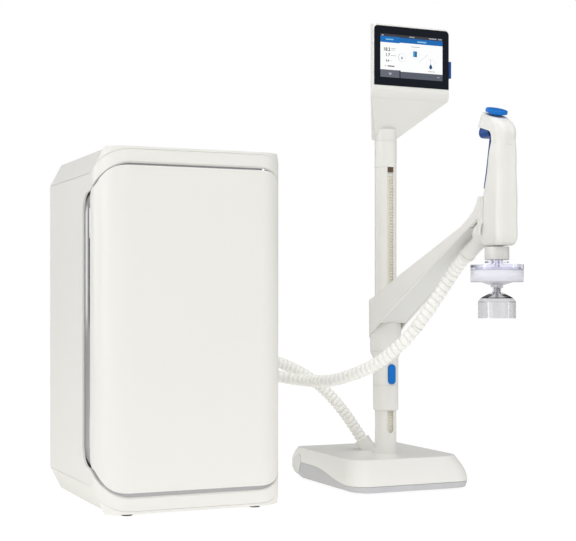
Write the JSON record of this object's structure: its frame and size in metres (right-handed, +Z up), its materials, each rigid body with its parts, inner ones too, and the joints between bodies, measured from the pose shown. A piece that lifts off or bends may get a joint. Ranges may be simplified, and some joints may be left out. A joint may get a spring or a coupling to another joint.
{
  "type": "ultrapure water system",
  "caption": "Laboratory ultrapure water system: purification unit with a hinged front door and a separate column dispenser with touchscreen, sliding arm, hand gun and final filter.",
  "frame": {"origin": "middle of the footprint of the unit and the dispenser, on the bench top", "axes": "+Z up, +X from the purification unit to the dispenser, -Y towards the user"},
  "size_m": [0.6032, 0.5168, 0.716],
  "materials": {
    "white_shell": "satin warm white moulded plastic",
    "light_grey": "satin light grey moulded plastic",
    "base_grey": "satin grey moulded plastic",
    "bright_trim": "bright plated strip",
    "dark_plastic": "black moulded plastic",
    "port_plastic": "grey fitting plastic",
    "blue_plastic": "glossy blue",
    "dark_blue": "dark blue plastic",
    "clear_plastic": "clear moulded plastic",
    "membrane": "white membrane",
    "cartridge_shell": "pale blue-grey canister",
    "circuit_board": "green board",
    "screen_face": "dark cover glass over a lit display",
    "hose_plastic": "white corrugated hose",
    "column_paint": "satin white paint",
    "rack_beige": "beige plastic",
    "brown_buffer": "brown rubber buffer",
    "dark_rubber": "black rubber",
    "grey_sheet": "grey painted sheet",
    "steel": "bare steel",
    "dark_metal": "dark painted motor",
    "bare_aluminium": "bare aluminium",
    "ballast_iron": "ballast plate"
  },
  "bodies": {
    "stand": {"casing_wrap": "white_shell", "top_cover": "white_shell", "base_pan": "white_shell", "grip_trim": "bright_trim", "hinge_brackets": "steel", "door_magnet": "dark_plastic", "rubber_feet": "dark_rubber", "chassis_frame": "grey_sheet", "cartridge_dock": "light_grey", "feed_pump": "dark_metal", "lamp_housing": "steel", "valve_block": "bare_aluminium", "purity_monitor": "light_grey", "power_supply": "bare_aluminium", "main_board": "circuit_board", "water_lines": "clear_plastic", "back_panel": "grey_sheet", "mains_inlet": "dark_plastic", "water_ports": "port_plastic", "hose_glands": "light_grey", "panel_screws": "steel", "base_cover": "white_shell", "base_tray": "base_grey", "base_weight": "ballast_iron", "column_tube": "column_paint", "column_rack": "rack_beige", "head_collar": "column_paint", "slot_stop": "brown_buffer", "gun_hose_lower": "hose_plastic", "base_hose": "hose_plastic"},
    "door": {"front_door": "white_shell", "door_liner": "light_grey", "door_leaves": "steel"},
    "left_cartridge": {"cartridge_left": "cartridge_shell"},
    "right_cartridge": {"cartridge_right": "cartridge_shell"},
    "rocker": {"power_rocker": "dark_plastic"},
    "cap": {"side_cap": "light_grey"},
    "head": {"head_bezel": "white_shell", "head_shell": "white_shell", "screen_glass": "screen_face", "screen_panel": "dark_plastic"},
    "tab": {"usb_tab": "dark_blue"},
    "carriage": {"carriage_sleeve": "white_shell", "arm_shell": "white_shell", "arm_cover": "light_grey", "gun_hose_upper": "hose_plastic"},
    "button": {"release_button": "blue_plastic"},
    "pawl": {"lock_pawl": "steel"},
    "gun": {"gun_shell_left": "white_shell", "gun_shell_right": "white_shell", "hose_cuff": "white_shell", "nozzle_collar": "white_shell", "gun_valve": "port_plastic"},
    "stem": {"knob_stem": "steel"},
    "knob": {"gun_knob": "blue_plastic"},
    "trigger": {"trigger": "dark_blue"},
    "filter": {"filter_lid": "clear_plastic", "filter_body": "clear_plastic", "filter_membranes": "membrane"},
    "bell": {"outlet_bell": "clear_plastic"}
  },
  "joints": [
    {"name": "door_swing", "type": "hinge", "parent": "stand", "child": "door", "pos_m": [-0.2984, 0.0157, 0.2505], "axis": [0, 0, -1], "range_deg": [0, 105]},
    {"name": "cartridge_left_lift", "type": "slide", "parent": "stand", "child": "left_cartridge", "axis": [0, 0, 1], "range_m": [0, 0.016]},
    {"name": "cartridge_right_lift", "type": "slide", "parent": "stand", "child": "right_cartridge", "axis": [0, 0, 1], "range_m": [0, 0.016]},
    {"name": "power_rocker_tilt", "type": "hinge", "parent": "stand", "child": "rocker", "pos_m": [-0.23961, 0.2414, 0.104], "axis": [1, 0, 0], "range_deg": [-8, 8]},
    {"name": "side_cap_pull", "type": "slide", "parent": "stand", "child": "cap", "axis": [-1, 0, 0], "range_m": [0, 0.009]},
    {"name": "head_swivel", "type": "hinge", "parent": "stand", "child": "head", "pos_m": [0.19839, 0.0984, 0.541], "axis": [0, 0, 1], "range_deg": [-45, 45]},
    {"name": "usb_tab_pull", "type": "slide", "parent": "head", "child": "tab", "axis": [1, 0, 0], "range_m": [0, 0.006]},
    {"name": "carriage_lift", "type": "slide", "parent": "stand", "child": "carriage", "axis": [0, 0, 1], "range_m": [-0.055, 0.18], "deforming": ["gun_hose_lower"]},
    {"name": "button_press", "type": "slide", "parent": "carriage", "child": "button", "axis": [0, 1, 0], "range_m": [0, 0.002], "stiffness_N_per_m": 900},
    {"name": "pawl_release", "type": "slide", "parent": "carriage", "child": "pawl", "axis": [0, -1, 0], "range_m": [0, 0.0016]},
    {"name": "gun_pull", "type": "slide", "parent": "carriage", "child": "gun", "axis": [0, -1, 0], "range_m": [0, 0.12], "deforming": ["gun_hose_upper"]},
    {"name": "knob_press", "type": "slide", "parent": "gun", "child": "stem", "axis": [0, 0.342, -0.9397], "range_m": [0, 0.003], "stiffness_N_per_m": 900},
    {"name": "knob_turn", "type": "hinge", "parent": "stem", "child": "knob", "pos_m": [0.19839, -0.2196, 0.5405], "axis": [0, -0.342, 0.9397], "continuous": true},
    {"name": "trigger_pull", "type": "hinge", "parent": "gun", "child": "trigger", "pos_m": [0.19839, -0.2121, 0.4365], "axis": [1, 0, 0], "range_deg": [0, 2], "stiffness_Nm_per_rad": 0.8},
    {"name": "filter_unplug", "type": "slide", "parent": "gun", "child": "filter", "axis": [0, 0, -1], "range_m": [0, 0.012]},
    {"name": "bell_pull", "type": "slide", "parent": "filter", "child": "bell", "axis": [0, 0, -1], "range_m": [0, 0.008]}
  ],
  "couplings": [
    {"joint": "pawl_release", "follows": "button_press", "ratio": 0.8}
  ]
}
